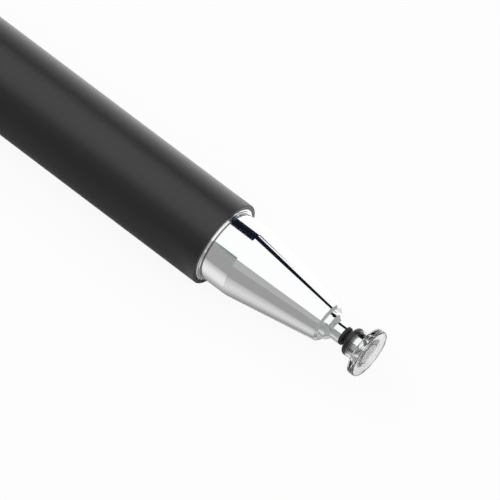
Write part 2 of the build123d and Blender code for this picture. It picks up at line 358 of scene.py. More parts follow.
def foot(tones, rear_line, front_line):
    """A near card's foot along the floor, between two lines."""
    for distance, tone in tones:
        ends = [(start + lean * distance, -distance, FOOT_Z) for start, lean in (rear_line, front_line)]
        yield *ends, grey(tone)


card(
    "grey_card_by_barrel",
    *band(BARREL_RUN, BARREL_GREY, CARD_TOP_TILT, LEVEL_TILT),
    *foot(BARREL_FOOT, REAR_END, LAND_REAR),
)
card(
    "grey_card_by_land",
    *band(LAND_RUN, GREEN, *GREEN_TILTS),
    *band(LAND_RUN, GREY, LAND_GREY_TILT, LEVEL_TILT),
    *foot(LAND_FOOT, LAND_REAR, CONE_REAR),
)
card(
    "grey_card_by_cone",
    *band(CONE_RUN, PALE_GREY, CARD_TOP_TILT, PALE_END_TILT),
    *band(CONE_RUN, GREY, CONE_GREY_TILT, LEVEL_TILT),
    *foot(CONE_FOOT, CONE_REAR, FRONT_END),
)

# %% [markdown]
# ## Far cards
# The black line along the cone is a black strip on the far side. The land shows a wide black band there,
# and so do the bevels in front, so two wider cards stand in line with the strip. The one by the land is
# hidden from clear plastic, which has dark cards of its own.

# %% Far cards
FAR_RUN = (BARREL_RUN[0], 0.12)
FRONT_RUN = (FAR_RUN[1], CONE_RUN[1])
BLACK = (0.006, 0.009, 0.017)
STRIP_TILTS = (-48.5, -63.5)
LAND_BLACK_TILTS = (-39, -72)
FRONT_BLACK_TILTS = (-45, -72)

card("black_strip", *band(FAR_RUN, BLACK, *STRIP_TILTS))
land_black = card("black_card_by_land", *band(LAND_RUN, BLACK, *LAND_BLACK_TILTS))
land_black.visible_transmission = False
card("black_card_in_front", *band(FRONT_RUN, BLACK, *FRONT_BLACK_TILTS))

# %% [markdown]
# ## Paper on the far side
# White paper on the floor shows along the far edges of the nose. Beside the barrel a sheet glows brighter
# than white paper, most of all close to the pen. It is a painted pool of light, which gives the black coat
# its pale far edge.

# %% Paper on the far side
WHITE = grey(1.05)
FAR_PAPER_START = 5.6 * MM
FAR_PAPER_FRONT_X = 20 * MM
PAINTED_LIGHT_FRONT_X = -5 * MM
# Painted light: tones above 1 make this sheet glow brighter than white paper, most of all near the pen.
PAINTED_LIGHT_TONES = ((FAR_PAPER_START, 1.85), (25 * MM, 1.7), (60 * MM, 1.3), (CARD_REACH, 1.0))

paper_run = (PAINTED_LIGHT_FRONT_X, FAR_PAPER_FRONT_X)
painted_light_run = (FAR_RUN[0], PAINTED_LIGHT_FRONT_X)
far_papers = [
    card("white_far_paper", *(floor_edge(paper_run, y, WHITE) for y in (FAR_PAPER_START, CARD_REACH))),
    card("painted_light_far_paper", *(floor_edge(painted_light_run, y, grey(tone)) for y, tone in PAINTED_LIGHT_TONES)),
]
for far_paper in far_papers:
    far_paper.visible_transmission = False

# %% [markdown]
# ## Cards in front and behind
# A grey card stands across the pen in front, with a foot that runs in to the tip, and shows in the bevels
# and the collar. Another stands behind and shows in the cap's domed end. Its foot's tones are painted: dark,
# then pale, then dark again at the pen's end, where the dark is a painted shadow of the pen. They give the
# dome soft shades. The foot crosses the other sheets, so it lies a hair above them.

# %% Cards in front and behind
FRONT_GREY = (0.34, 0.37, 0.35)
FRONT_X = 0.7
FRONT_TOP = 0.32
FRONT_HALF_WIDTH = 0.7
FRONT_EDGES = ((FRONT_X, FRONT_TOP), (FRONT_X, FOOT_Z), (FRONT_END[0], FOOT_Z))
REAR_X = -0.9
REAR_TOP = 0.5
REAR_HALF_WIDTH = 1.0
REAR_PALE_X = -0.2
REAR_FOOT_X = pen_box[0].x + 2.5 * MM
REAR_FOOT_Z = FOOT_Z + 0.1 * MM
# The last tone, at the pen's end, is a painted shadow of the pen.
REAR_EDGES = (
    (REAR_X, REAR_TOP, 0.7), (REAR_X, REAR_FOOT_Z, 0.35),
    (REAR_PALE_X, REAR_FOOT_Z, 0.66), (REAR_FOOT_X, REAR_FOOT_Z, 0.4),
)


def cross_edge(x, z, half_width, tone):
    """An edge that runs across the pen."""
    return (x, -half_width, z), (x, half_width, z), tone


card("front_card", *(cross_edge(x, z, FRONT_HALF_WIDTH, FRONT_GREY) for x, z in FRONT_EDGES))
card("rear_card", *(cross_edge(x, z, REAR_HALF_WIDTH, grey(tone)) for x, z, tone in REAR_EDGES))

# %% [markdown]
# ## Cards for the clear tip
# Clear plastic has no colour either: it shows bent pictures of its surroundings. The dark bands in the
# hub and the rim are a black card low on the far side and a dark one low on the near side. A grey sheet
# on the floor in front of the tip shows in the contact plate. Metal doesn't see these three, so they are
# hidden from glossy rays.

# %% Cards for the clear tip
FULL_RUN = (BARREL_RUN[0], CONE_RUN[1])
TIP_RUN = (21.3 * MM, 40 * MM)
DARK_GREY = grey(0.1)
TIP_GREY = grey(0.5)
FAR_DARK_TILTS = (-60, -LEVEL_TILT)
FAR_DARK_START = 9 * MM
NEAR_DARK_TILTS = (60, LEVEL_TILT)
NEAR_DARK_START = -8 * MM

tip_cards = [
    card(
        "far_dark_card",
        *band(FULL_RUN, BLACK, *FAR_DARK_TILTS),
        floor_edge(FULL_RUN, FAR_DARK_START, BLACK),
    ),
    card(
        "near_dark_card",
        *band(FULL_RUN, DARK_GREY, *NEAR_DARK_TILTS),
        floor_edge(FULL_RUN, NEAR_DARK_START, DARK_GREY),
    ),
    card("tip_sheet", *(floor_edge(TIP_RUN, y, TIP_GREY) for y in (NEAR_DARK_START, FAR_DARK_START))),
]
for tip_card in tip_cards:
    tip_card.visible_glossy = False

# %% [markdown]
# ## How a finish is made
# Every finish is a small node tree on the piece's own coordinates. Noise of a given size in metres is
# stretched over a range of roughness, leads the colour between two close tones, or raises and sinks the
# surface by a tiny depth. Most of a noise lies near its middle, so the helpers use that part alone.

# %% Finish helpers
NOISE_LOW = 0.3
NOISE_HIGH = 0.7


def new_finish(name):
    """A material with its node tree, its main shader and the piece's own coordinates."""
    material = bpy.data.materials.new(name)
    material.use_nodes = True
    tree = material.node_tree
    coordinates = tree.nodes.new("ShaderNodeTexCoord").outputs["Object"]
    return material, tree, tree.nodes["Principled BSDF"], coordinates


def grain(tree, coordinates, size, detail=2.0):
    """Noise whose blotches are about this size in metres."""
    noise = tree.nodes.new("ShaderNodeTexNoise")
    noise.inputs["Scale"].default_value = 1 / size
    noise.inputs["Detail"].default_value = detail
    tree.links.new(coordinates, noise.inputs["Vector"])
    return noise.outputs["Fac"]


def spread(tree, value, low, high):
    """Stretch the middle of a noise over a range."""
    stretch = tree.nodes.new("ShaderNodeMapRange")
    stretch.inputs["From Min"].default_value = NOISE_LOW
    stretch.inputs["From Max"].default_value = NOISE_HIGH
    stretch.inputs["To Min"].default_value = low
    stretch.inputs["To Max"].default_value = high
    tree.links.new(value, stretch.inputs["Value"])
    return stretch.outputs["Result"]


def tint(tree, value, dark, light):
    """Colour between two tones, led by a noise."""
    ramp = tree.nodes.new("ShaderNodeValToRGB")
    ramp.color_ramp.elements[0].position = NOISE_LOW
    ramp.color_ramp.elements[0].color = (*dark, 1)
    ramp.color_ramp.elements[1].position = NOISE_HIGH
    ramp.color_ramp.elements[1].color = (*light, 1)
    tree.links.new(value, ramp.inputs["Fac"])
    return ramp.outputs["Color"]


def relief(tree, shader, height, depth):
    """Raise and sink the surface by a height map of this depth in metres."""
    bump = tree.nodes.new("ShaderNodeBump")
    bump.inputs["Distance"].default_value = depth
    tree.links.new(height, bump.inputs["Height"])
    tree.links.new(bump.outputs["Normal"], shader.inputs["Normal"])


# %% [markdown]
# ## Black coat
# The barrel and the cap are aluminium tubes with a matt black coat. The coat is slightly grainy, so its
# highlights are wide and soft. A fine noise roughens it and lifts it by a few thousandths of a
# millimetre, and a wide, faint noise keeps the black from being the same everywhere.

# %% Black coat
COAT_GRAIN = 0.14 * MM
COAT_CLOUDS = 6 * MM
COAT_DARK = (0.0028, 0.0028, 0.0030)
COAT_LIGHT = (0.0042, 0.0042, 0.0044)
COAT_ROUGHNESS = (0.36, 0.44)
COAT_IOR = 1.65
COAT_RELIEF = 0.0025 * MM


def black_coat():
    material, tree, shader, here = new_finish("black_coat")
    fine = grain(tree, here, COAT_GRAIN)
    wide = grain(tree, here, COAT_CLOUDS)
    tree.links.new(tint(tree, wide, COAT_DARK, COAT_LIGHT), shader.inputs["Base Color"])
    tree.links.new(spread(tree, fine, *COAT_ROUGHNESS), shader.inputs["Roughness"])
    shader.inputs["IOR"].default_value = COAT_IOR
    relief(tree, shader, fine, COAT_RELIEF)
    return material


coat = black_coat()
print("finish made:", coat.name)

# %% [markdown]
# ## Bright plate
# The nose, the bushes, the stem, the ball, the finial and the clip are metal under mirror plate. Most of
# them are turned, and the lathe leaves rings that the plate doesn't quite hide. A noise that runs along X
# only makes those rings: it changes the roughness by a hair and the surface by even less.

# %% Bright plate
BRIGHT_RINGS = 0.12 * MM
BRIGHT_HAZE = 2.5 * MM
BRIGHT_DARK = (0.975, 0.98, 0.985)
BRIGHT_LIGHT = (0.99, 0.99, 0.995)
BRIGHT_ROUGHNESS = (0.02, 0.05)
BRIGHT_RELIEF = 0.00002 * MM


def rings(tree, coordinates, pitch):
    """Noise that changes along the pen's axis alone, as a lathe's marks do."""
    axis = tree.nodes.new("ShaderNodeSeparateXYZ")
    tree.links.new(coordinates, axis.inputs[0])
    noise = tree.nodes.new("ShaderNodeTexNoise")
    noise.noise_dimensions = "1D"
    noise.inputs["Scale"].default_value = 1 / pitch
    tree.links.new(axis.outputs["X"], noise.inputs["W"])
    return noise.outputs["Fac"]


def bright_plate():
    material, tree, shader, here = new_finish("bright_plate")
    lathe = rings(tree, here, BRIGHT_RINGS)
    haze = grain(tree, here, BRIGHT_HAZE)
    shader.inputs["Metallic"].default_value = 1.0
    tree.links.new(tint(tree, haze, BRIGHT_DARK, BRIGHT_LIGHT), shader.inputs["Base Color"])
    tree.links.new(spread(tree, lathe, *BRIGHT_ROUGHNESS), shader.inputs["Roughness"])
    relief(tree, shader, lathe, BRIGHT_RELIEF)
    return material


plate = bright_plate()
print("finish made:", plate.name)

# %% [markdown]
# ## Dark plate
# A thin washer parts the nose from its bush. In the photograph it is a fine grey line where the metal
# beside it is white, and a dark line elsewhere, so it is metal too, under a plate that gives back about a
# quarter of the light.

# %% Dark plate
WASHER_RINGS = 0.03 * MM
WASHER_DARK = (0.24, 0.24, 0.25)
WASHER_LIGHT = (0.28, 0.28, 0.29)
WASHER_ROUGHNESS = (0.08, 0.14)


def dark_plate():
    material, tree, shader, here = new_finish("dark_plate")
    lathe = rings(tree, here, WASHER_RINGS)
    shader.inputs["Metallic"].default_value = 1.0
    tree.links.new(tint(tree, lathe, WASHER_DARK, WASHER_LIGHT), shader.inputs["Base Color"])
    tree.links.new(spread(tree, lathe, *WASHER_ROUGHNESS), shader.inputs["Roughness"])
    return material


dark = dark_plate()
print("finish made:", dark.name)

# %% [markdown]
# ## Soft rubber
# The cushion ring is soft rubber, which is dull and dusty. One fine, detailed noise gives the dust, the
# uneven gloss and the tiny pits.

# %% Soft rubber
RUBBER_DUST = 0.08 * MM
RUBBER_DETAIL = 4.0
RUBBER_DARK = grey(0.010)
RUBBER_LIGHT = grey(0.020)
RUBBER_ROUGHNESS = (0.45, 0.65)
RUBBER_RELIEF = 0.004 * MM


def soft_rubber():
    material, tree, shader, here = new_finish("soft_rubber")
    dust = grain(tree, here, RUBBER_DUST, RUBBER_DETAIL)
    tree.links.new(tint(tree, dust, RUBBER_DARK, RUBBER_LIGHT), shader.inputs["Base Color"])
    tree.links.new(spread(tree, dust, *RUBBER_ROUGHNESS), shader.inputs["Roughness"])
    relief(tree, shader, dust, RUBBER_RELIEF)
    return material


rubber = soft_rubber()
print("finish made:", rubber.name)

# %% [markdown]
# ## Satin plastic
# The socket ring and the cap's liner are moulded black plastic. The mould leaves a satin skin with a very
# shallow grain.

# %% Satin plastic
SATIN_SKIN = 0.1 * MM
SATIN_DARK = (0.012, 0.012, 0.013)
SATIN_LIGHT = (0.019, 0.019, 0.020)
SATIN_ROUGHNESS = (0.25, 0.36)
SATIN_RELIEF = 0.001 * MM


def satin_plastic():
    material, tree, shader, here = new_finish("satin_plastic")
    skin = grain(tree, here, SATIN_SKIN)
    tree.links.new(tint(tree, skin, SATIN_DARK, SATIN_LIGHT), shader.inputs["Base Color"])
    tree.links.new(spread(tree, skin, *SATIN_ROUGHNESS), shader.inputs["Roughness"])
    relief(tree, shader, skin, SATIN_RELIEF)
    return material


moulded = satin_plastic()
print("finish made:", moulded.name)

# %% [markdown]
# ## Clear plastic
# The disc is clear polycarbonate, which bends light more than glass does. The plastic's flow in the mould
# leaves a faint, uneven haze.

# %% Clear plastic
CLEAR_FLOW = 0.9 * MM
CLEAR_DARK = (0.985, 0.99, 0.99)
CLEAR_LIGHT = grey(1.0)
CLEAR_ROUGHNESS = (0.0, 0.02)
CLEAR_IOR = 1.585


def clear_plastic():
    material, tree, shader, here = new_finish("clear_plastic")
    flow = grain(tree, here, CLEAR_FLOW)
    shader.inputs["Transmission Weight"].default_value = 1.0
    shader.inputs["IOR"].default_value = CLEAR_IOR
    tree.links.new(tint(tree, flow, CLEAR_DARK, CLEAR_LIGHT), shader.inputs["Base Color"])
    tree.links.new(spread(tree, flow, *CLEAR_ROUGHNESS), shader.inputs["Roughness"])
    return material


clear = clear_plastic()
print("finish made:", clear.name)

# %% [markdown]
# ## Screw steel
# The screw in the cap is plain steel with the marks of its turning.

# %% Screw steel
STEEL_RINGS = 0.05 * MM
STEEL_DARK = (0.50, 0.50, 0.51)
STEEL_LIGHT = (0.62, 0.62, 0.63)
STEEL_ROUGHNESS = (0.25, 0.4)


def screw_steel():
    material, tree, shader, here = new_finish("screw_steel")
    lathe = rings(tree, here, STEEL_RINGS)
    shader.inputs["Metallic"].default_value = 1.0
    tree.links.new(tint(tree, lathe, STEEL_DARK, STEEL_LIGHT), shader.inputs["Base Color"])
    tree.links.new(spread(tree, lathe, *STEEL_ROUGHNESS), shader.inputs["Roughness"])
    return material


steel = screw_steel()
print("finish made:", steel.name)

# %% [markdown]
# ## How a turned piece is made
# Nearly every piece of this pen comes off a lathe, so one helper makes them all. It takes half of the
# outline, as places along X and radii, rounds its corners while it is still a wire, and spins it once
# round the X axis. Rounding the wire is cheaper and cleaner than bevelling the finished ring. No real
# edge is quite sharp, so corners that aren't named get a tiny round too.

# %% Lathe helper
TURN_STEPS = 160
SHARP_EDGE = 0.02 * MM
WELD_DISTANCE = SHARP_EDGE / 100
ROUND_STEPS = 5


def turned(outline, rounds=None):
    """Spin an outline of (x, radius) points round X, with rounds given by the corner's index."""
    rounds = rounds or {}
    piece_bm = bmesh.new()
    corners = [piece_bm.verts.new((x, 0, radius)) for x, radius in outline]
    for first, second in zip(corners, corners[1:] + corners[:1]):
        if first.co.z > 0 or second.co.z > 0:
            piece_bm.edges.new((first, second))
    for index, corner in enumerate(corners):
        size = rounds.get(index, SHARP_EDGE)
        if corner.co.z > 0 and size > 0:
            bmesh.ops.bevel(
                piece_bm, geom=[corner], offset=size, offset_type="OFFSET", segments=ROUND_STEPS,
                profile=0.5, affect="VERTICES", clamp_overlap=False, material=-1,
            )
    bmesh.ops.spin(
        piece_bm, geom=piece_bm.verts[:] + piece_bm.edges[:], cent=(0, 0, 0), axis=(1, 0, 0),
        angle=2 * pi, steps=TURN_STEPS, use_merge=True,
    )
    bmesh.ops.remove_doubles(piece_bm, verts=piece_bm.verts, dist=WELD_DISTANCE)
    bmesh.ops.recalc_face_normals(piece_bm, faces=piece_bm.faces)
    for face in piece_bm.faces:
        face.smooth = True
    return piece_bm


# %% [markdown]
# ## How a piece joins the pen
# A new mesh stands for one solid: it rides on that solid's body, replaces it and takes the finish that it
# is given. Large faces lead the shading of a turned piece, so flat and conical faces
# reflect cleanly right up to their rounds.


def dress(node, piece_bm, finish):
    """Make the mesh that stands for a CAD node and ride it on the node's body."""
    piece = mesh_object("dressed_" + node, piece_bm, finish)
    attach(piece, frame["nodes"][node]["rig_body"])
    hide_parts(node)
    print(f"{piece.name}: {len(piece.data.vertices)} points")
    return piece


def even_shading(piece):
    """Let large faces lead the shading, so that small rounds don't bend the reflections beside them."""
    leads = [Vector() for point in piece.data.vertices]
    for face in piece.data.polygons:
        for point in face.vertices:
            leads[point] += face.normal * face.area / MM**2
    piece.data.normals_split_custom_set_from_vertices([lead.normalized() for lead in leads])


# %% [markdown]
# ## Barrel
# The barrel is a thin tube whose ends are cut square and eased, outside and inside. Its length and radius
# come from the frame, and only its wall and its rounds are named here.

# %% Barrel
BARREL_WALL = 0.52 * MM
MOUTH_ROUND = 0.1 * MM
SEAM_ROUND = 0.28 * MM
BORE_EASE = 0.06 * MM

BORE_RADIUS = BARREL_RADIUS - BARREL_WALL
TAIL_X, MOUTH_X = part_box("barrel")[0].x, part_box("barrel")[1].x


def tube(start_x, end_x, start_round, end_round):
    """A length of the barrel's tube."""
    outline = [(start_x, BORE_RADIUS), (start_x, BARREL_RADIUS), (end_x, BARREL_RADIUS), (end_x, BORE_RADIUS)]
    return turned(outline, {0: BORE_EASE, 1: start_round, 2: end_round, 3: BORE_EASE})


even_shading(dress("barrel", tube(TAIL_X, MOUTH_X, SEAM_ROUND, MOUTH_ROUND), coat))

# %% [markdown]
# ## Bushes and washers
# A bright bush is pressed into each end of the barrel. A ring at its front stands a little proud and
# narrows by a hair, so it shows the white room overhead. A thin dark washer lies on it, and the nose is
# screwed down on that. The tail has the same two pieces turned end for end, so both ends share one
# function: `side` is 1 at the mouth and -1 at the tail.

# %% Bushes and washers
BUSH_LENGTH = 12 * MM
BUSH_PROUD = 0.2 * MM
BUSH_STEP = 0.14 * MM
BUSH_DRAFT = 0.025 * MM
THREAD_RADIUS = 3.5 * MM

BUSH_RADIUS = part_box("front_bush")[1].z
LAND_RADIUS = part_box("nose_washer")[1].z
SHOULDER_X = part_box("nose_washer")[1].x


def bush(end_x, side):
    return turned([
        (end_x - side * BUSH_LENGTH, THREAD_RADIUS),
        (end_x - side * BUSH_LENGTH, BUSH_RADIUS),
        (end_x, BUSH_RADIUS),
        (end_x, BUSH_RADIUS - BUSH_STEP),
        (end_x + side * BUSH_PROUD, BUSH_RADIUS - BUSH_STEP - BUSH_DRAFT),
        (end_x + side * BUSH_PROUD, THREAD_RADIUS),
    ])


def washer(end_x, side):
    low, high = end_x + side * BUSH_PROUD, end_x + side * SHOULDER_X
    return turned([(low, THREAD_RADIUS), (low, LAND_RADIUS), (high, LAND_RADIUS), (high, THREAD_RADIUS)])


for name, end_x, side in (("front_bush", MOUTH_X, 1), ("tail_bush", TAIL_X, -1)):
    even_shading(dress(name, bush(end_x, side), plate))
for name, end_x, side in (("nose_washer", MOUTH_X, 1), ("tail_washer", TAIL_X, -1)):
    even_shading(dress(name, washer(end_x, side), dark))

# %% [markdown]
# ## Nose cone
# The nose is one turned piece: a short straight land, a long cone and a bevelled end, on a hollow
# threaded shank. The corner between land and cone is crisp in the photograph, because the reflections
# jump there.

# %% Nose cone
LAND_LENGTH = 3.22 * MM
CONE_LENGTH = 11.37 * MM
CONE_END_RADIUS = 2.42 * MM
NOSE_FACE_RADIUS = 2.12 * MM
SHANK_RADIUS = 3.47 * MM
SHANK_BORE = 2.4 * MM
SHANK_BORE_DEPTH = 16.5 * MM
STEM_THREAD_RADIUS = 1.25 * MM

NOSE_REAR_X, NOSE_FACE_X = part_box("nose_cone")[0].x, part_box("nose_cone")[1].x
LAND_END_X = SHOULDER_X + LAND_LENGTH
nose = turned([
    (NOSE_REAR_X, SHANK_BORE),
    (NOSE_REAR_X, SHANK_RADIUS),
    (SHOULDER_X, SHANK_RADIUS),
    (SHOULDER_X, LAND_RADIUS),
    (LAND_END_X, LAND_RADIUS),
    (LAND_END_X + CONE_LENGTH, CONE_END_RADIUS),
    (NOSE_FACE_X, NOSE_FACE_RADIUS),
    (NOSE_FACE_X, STEM_THREAD_RADIUS),
    (NOSE_REAR_X + SHANK_BORE_DEPTH, STEM_THREAD_RADIUS),
    (NOSE_REAR_X + SHANK_BORE_DEPTH, SHANK_BORE),
])
even_shading(dress("nose_cone", nose, plate))

# %% [markdown]
# ## Tip stem
# The stem screws into the nose's end. It has a thick collar, a short taper and a slim stem, and a bore
# that the ball's neck turns in.

# %% Tip stem
COLLAR_LENGTH = 0.53 * MM
COLLAR_TAPER = 0.53 * MM
COLLAR_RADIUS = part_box("tip_stem")[1].z
STEM_RADIUS = 1.14 * MM
STEM_SHANK_RADIUS = 1.22 * MM
NECK_BORE = 0.48 * MM
NECK_BORE_DEPTH = 2.63 * MM

STEM_REAR_X, STEM_END_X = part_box("tip_stem")[0].x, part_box("tip_stem")[1].x
COLLAR_END_X = NOSE_FACE_X + COLLAR_LENGTH
stem = turned([
    (STEM_REAR_X, 0),
    (STEM_REAR_X, STEM_SHANK_RADIUS),
    (NOSE_FACE_X, STEM_SHANK_RADIUS),
    (NOSE_FACE_X, COLLAR_RADIUS),
    (COLLAR_END_X, COLLAR_RADIUS),
    (COLLAR_END_X + COLLAR_TAPER, STEM_RADIUS),
    (STEM_END_X, STEM_RADIUS),
    (STEM_END_X, NECK_BORE),
    (STEM_END_X - NECK_BORE_DEPTH, NECK_BORE),
    (STEM_END_X - NECK_BORE_DEPTH, 0),
])
even_shading(dress("tip_stem", stem, plate))

# %% [markdown]
# ## Cushion ring
# A soft black bead sits on the end of the stem. When the disc is pushed right over, its hub comes to rest
# here.

# %% Cushion ring
BEAD_LENGTH = 0.36 * MM
BEAD_ROUND = 0.15 * MM
BEAD_NOSE_RADIUS = 0.7 * MM

BEAD_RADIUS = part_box("cushion_ring")[1].z
BEAD_END_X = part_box("cushion_ring")[1].x
bead = turned(
    [
        (STEM_END_X, NECK_BORE),
        (STEM_END_X, BEAD_RADIUS),
        (STEM_END_X + BEAD_LENGTH, BEAD_RADIUS),
        (STEM_END_X + BEAD_LENGTH, BEAD_NOSE_RADIUS),
        (BEAD_END_X, BEAD_NOSE_RADIUS),
        (BEAD_END_X, NECK_BORE),
    ],
    {1: BEAD_ROUND, 2: BEAD_ROUND, 4: BEAD_ROUND / 2},
)
even_shading(dress("cushion_ring", bead, rubber))

# %% [markdown]
# ## Ball stud
# The ball and its neck are one turned pin. The ball's outline is an arc, worked out from the ball's
# middle, which is also where the disc's joint turns. It starts where the neck meets the ball and ends at
# the pole.

# %% Ball stud
NECK_RADIUS = 0.45 * MM
BALL_ARC_STEPS = 40

joints = {joint["name"]: joint for joint in frame["joints"]}
BALL_X = joints["disc_tilt"]["pos_m"][0]
BALL_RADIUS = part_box("ball_stud")[1].z
neck_angle = asin(NECK_RADIUS / BALL_RADIUS)
ball_arc = []
for step in range(BALL_ARC_STEPS + 1):
    angle = neck_angle + (pi - neck_angle) * step / BALL_ARC_STEPS
    ball_arc.append((BALL_X - BALL_RADIUS * cos(angle), BALL_RADIUS * sin(angle)))
ball_arc[-1] = (BALL_X + BALL_RADIUS, 0)
neck_rear_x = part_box("ball_stud")[0].x
ball = turned(
    [(neck_rear_x, 0), (neck_rear_x, NECK_RADIUS)] + ball_arc,
    {index + 2: 0 for index in range(BALL_ARC_STEPS + 1)},
)
even_shading(dress("ball_stud", ball, plate))

# %% [markdown]
# ## Socket ring
# A black ring closes the back of the hub and keeps the ball in with a narrow lip. Its back is almost
# fully rounded, and a thin spigot reaches into the hub round the ball.

# %% Socket ring
SPIGOT_RADIUS = 1.40 * MM
SPIGOT_LENGTH = 0.2 * MM
SPIGOT_BORE = 1.23 * MM
LIP_RADIUS = 1.12 * MM
LIP_FLARE = 0.13 * MM
LIP_DEPTH = 0.7 * MM
SOCKET_ROUND = 0.44 * MM

SOCKET_BACK_X, SPIGOT_END_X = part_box("socket_ring")[0].x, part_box("socket_ring")[1].x
HUB_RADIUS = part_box("socket_ring")[1].z
HUB_BACK_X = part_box("disc")[0].x
socket_front_x = SPIGOT_END_X - SPIGOT_LENGTH
lip_x = SOCKET_BACK_X + LIP_DEPTH
socket = turned(
    [
        (SOCKET_BACK_X, LIP_RADIUS + LIP_FLARE),
        (SOCKET_BACK_X, HUB_RADIUS),
        (socket_front_x, HUB_RADIUS),
        (socket_front_x, SPIGOT_RADIUS),
        (SPIGOT_END_X, SPIGOT_RADIUS),
        (SPIGOT_END_X, SPIGOT_BORE),
        (lip_x, SPIGOT_BORE),
        (lip_x, LIP_RADIUS),
    ],
    {1: SOCKET_ROUND},
)
even_shading(dress("socket_ring", socket, moulded))

# %% [markdown]
# ## Clear disc
# The disc is one clear moulding: a hollow hub, and a round plate with a shallow recess in its face. Clear
# plastic bends light at every wall, so the inside of the hub has to be there as well as the outside, and
# the outline runs round both.

# %% Clear disc
DISC_RADIUS = 2.95 * MM
DISC_THICKNESS = 0.89 * MM
DISC_ROUND = 0.14 * MM
HUB_ROOT_ROUND = 0.22 * MM
SPIGOT_SEAT = 1.42 * MM
RECESS_RADIUS = 1.6 * MM
RECESS_DEPTH = 0.12 * MM

DISC_FACE_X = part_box("disc")[1].x
PLATE_BACK_X, PLATE_FACE_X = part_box("contact_plate")[0].x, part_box("contact_plate")[1].x
disc = turned(
    [
        (PLATE_FACE_X, 0),
        (PLATE_FACE_X, SPIGOT_BORE),
        (HUB_BACK_X + SPIGOT_LENGTH, SPIGOT_BORE),
        (HUB_BACK_X + SPIGOT_LENGTH, SPIGOT_SEAT),
        (HUB_BACK_X, SPIGOT_SEAT),
        (HUB_BACK_X, HUB_RADIUS),
        (DISC_FACE_X - DISC_THICKNESS, HUB_RADIUS),
        (DISC_FACE_X - DISC_THICKNESS, DISC_RADIUS),
        (DISC_FACE_X, DISC_RADIUS),
        (DISC_FACE_X, RECESS_RADIUS),
        (DISC_FACE_X - RECESS_DEPTH, RECESS_RADIUS),
        (DISC_FACE_X - RECESS_DEPTH, 0),
    ],
    {6: HUB_ROOT_ROUND, 7: DISC_ROUND, 8: DISC_ROUND},
)
even_shading(dress("disc", disc, clear))

# %% [markdown]
# ## Contact plate
# A small bright plate lies on the hub's floor, where the ball touches it. It stops a hair short of the
# clear floor, because two surfaces at one place confuse the light.

# %% Contact plate
AIR_FILM = 0.01 * MM

PLATE_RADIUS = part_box("contact_plate")[1].z
contact = turned([
    (PLATE_BACK_X, 0),
    (PLATE_BACK_X, PLATE_RADIUS),
    (PLATE_FACE_X - AIR_FILM, PLATE_RADIUS),
    (PLATE_FACE_X - AIR_FILM, 0),
])
even_shading(dress("contact_plate", contact, plate))

# %% [markdown]
# ## Tail post
# The tail has a plug like the nose's land, so that the cap can be posted on it. It shows when the cap is
# pulled off.

# %% Tail post
POST_ROUND = 0.5 * MM

POST_END_X, POST_REAR_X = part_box("tail_post")[0].x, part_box("tail_post")[1].x
post_shoulder_x = TAIL_X - SHOULDER_X
post = turned(
    [
        (POST_REAR_X, 0),
        (POST_REAR_X, SHANK_RADIUS),
        (post_shoulder_x, SHANK_RADIUS),
        (post_shoulder_x, LAND_RADIUS),
        (POST_END_X, LAND_RADIUS),
        (POST_END_X, 0),
    ],
    {4: POST_ROUND},
)
even_shading(dress("tail_post", post, plate))

# %% [markdown]
# ## How a piece is cut for the clip
# The cap tube has a notch at its end for the clip, and the finial has a pocket. Neither is round, so the
# lathe can't make them: a box cuts them out with a Boolean, and the cut is kept in the mesh. The clip's
# joint turns about the clip's width, so its axis says which way the clip points.

# %% Cutting helpers
CLIP_WIDTH = 3.2 * MM
CLIP_THICKNESS = 0.5 * MM
CLIP_PLAY = 0.12 * MM
CUT_OVERRUN = 1.0 * MM
FLAT_CUT_ANGLE = radians(35)

clip_axis = joints["clip_flex"]["axis"]
clip_turn = Matrix.Rotation(atan2(-clip_axis[1], clip_axis[2]), 4, "X")
NOTCH_WIDTH = CLIP_WIDTH + 2 * CLIP_PLAY
NOTCH_DEPTH = CLIP_THICKNESS + 2 * CLIP_PLAY


def cut_for_clip(piece, start_x, end_x, low_radius, high_radius):
    """Cut a box out of a piece, on the side where the clip is, and keep the cut mesh."""
    cutter_bm = bmesh.new()
    bmesh.ops.create_cube(cutter_bm, size=1)
    size = (end_x - start_x, high_radius - low_radius, NOTCH_WIDTH)
    middle = ((start_x + end_x) / 2, (low_radius + high_radius) / 2, 0)
    bmesh.ops.scale(cutter_bm, verts=cutter_bm.verts, vec=size)
    bmesh.ops.translate(cutter_bm, verts=cutter_bm.verts, vec=middle)
    bmesh.ops.transform(cutter_bm, verts=cutter_bm.verts, matrix=clip_turn)
    cutter = mesh_object("cutter", cutter_bm, piece.data.materials[0])
    cut = piece.modifiers.new("notch", "BOOLEAN")
    cut.object = cutter
    cut.solver = "EXACT"
    cut_piece = piece.evaluated_get(bpy.context.evaluated_depsgraph_get())
    cut_mesh = bpy.data.meshes.new_from_object(cut_piece)
    cut_mesh.set_sharp_from_angle(angle=FLAT_CUT_ANGLE)
    piece.modifiers.remove(cut)
    piece.data = cut_mesh
    bpy.data.objects.remove(cutter)


def crisp_shading(piece):
    """Even shading for a piece with cut or bent edges, which stay sharp."""
    shading = piece.modifiers.new("crisp_shading", "WEIGHTED_NORMAL")
    shading.keep_sharp = True


# %% [markdown]
# ## Cap tube
# The cap is a short length of the barrel's own tube, so the barrel's function makes it. The notch goes
# right through its wall.

# %% Cap tube
CAP_END_X, CAP_MOUTH_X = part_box("cap_tube")[0].x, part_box("cap_tube")[1].x
cap_tube = dress("cap_tube", tube(CAP_END_X, CAP_MOUTH_X, BORE_EASE, SEAM_ROUND), coat)
cut_for_clip(
    cap_tube, CAP_END_X - CUT_OVERRUN, CAP_END_X + NOTCH_DEPTH,
    LAND_RADIUS, BARREL_RADIUS + CUT_OVERRUN,
)
crisp_shading(cap_tube)

# %% [markdown]
# ## Cap liner
# A plastic sleeve inside the cap slides over the lands, and a low bead near its mouth grips them. Its end
# wall is counterbored for the screw that holds the finial.

